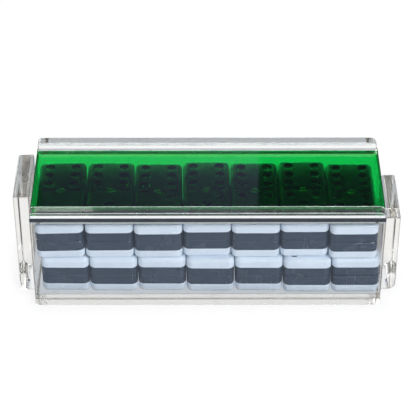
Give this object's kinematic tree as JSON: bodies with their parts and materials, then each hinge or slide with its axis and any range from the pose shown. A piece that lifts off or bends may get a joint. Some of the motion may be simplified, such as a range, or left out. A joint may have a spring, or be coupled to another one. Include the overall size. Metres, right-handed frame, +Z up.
{
  "type": "domino box",
  "caption": "Long clear acrylic domino box with a green sliding lid in grooved walls, end blocks of two heights, and a layered set of two-tone dominoes inside.",
  "frame": {"origin": "middle of the footprint, on the table under the base", "axes": "+X along the box to the low end block, the way that the lid slides out; +Y from the front wall to the back wall; +Z up"},
  "size_m": [0.2014, 0.0662, 0.0632],
  "materials": {
    "clear_acrylic": "polished clear sheet",
    "green_acrylic": "polished deep green clear sheet",
    "ivory_resin": "polished, on a black back half, black painted pips and a brass spinner pin"
  },
  "bodies": {
    "case": {"base_plate": "clear_acrylic", "front_wall": "clear_acrylic", "back_wall": "clear_acrylic", "left_end_wall": "clear_acrylic", "right_end_wall": "clear_acrylic", "tall_end_block": "clear_acrylic", "low_end_block": "clear_acrylic", "domino_6_0": "ivory_resin", "domino_6_1": "ivory_resin", "domino_6_2": "ivory_resin", "domino_6_3": "ivory_resin", "domino_6_4": "ivory_resin", "domino_6_5": "ivory_resin", "domino_6_6": "ivory_resin", "domino_5_0": "ivory_resin", "domino_5_1": "ivory_resin", "domino_5_2": "ivory_resin", "domino_5_3": "ivory_resin", "domino_5_4": "ivory_resin", "domino_5_5": "ivory_resin", "domino_4_0": "ivory_resin", "domino_4_1": "ivory_resin", "domino_4_2": "ivory_resin", "domino_4_3": "ivory_resin", "domino_4_4": "ivory_resin", "domino_3_0": "ivory_resin", "domino_3_1": "ivory_resin", "domino_3_2": "ivory_resin", "domino_3_3": "ivory_resin", "domino_2_0": "ivory_resin", "domino_2_1": "ivory_resin", "domino_2_2": "ivory_resin", "domino_1_0": "ivory_resin", "domino_1_1": "ivory_resin", "domino_0_0": "ivory_resin"},
    "lid": {"sliding_lid": "green_acrylic"}
  },
  "joints": [
    {"name": "lid_slide", "type": "slide", "parent": "case", "child": "lid", "axis": [1, 0, 0], "range_m": [0, 0.184]}
  ]
}
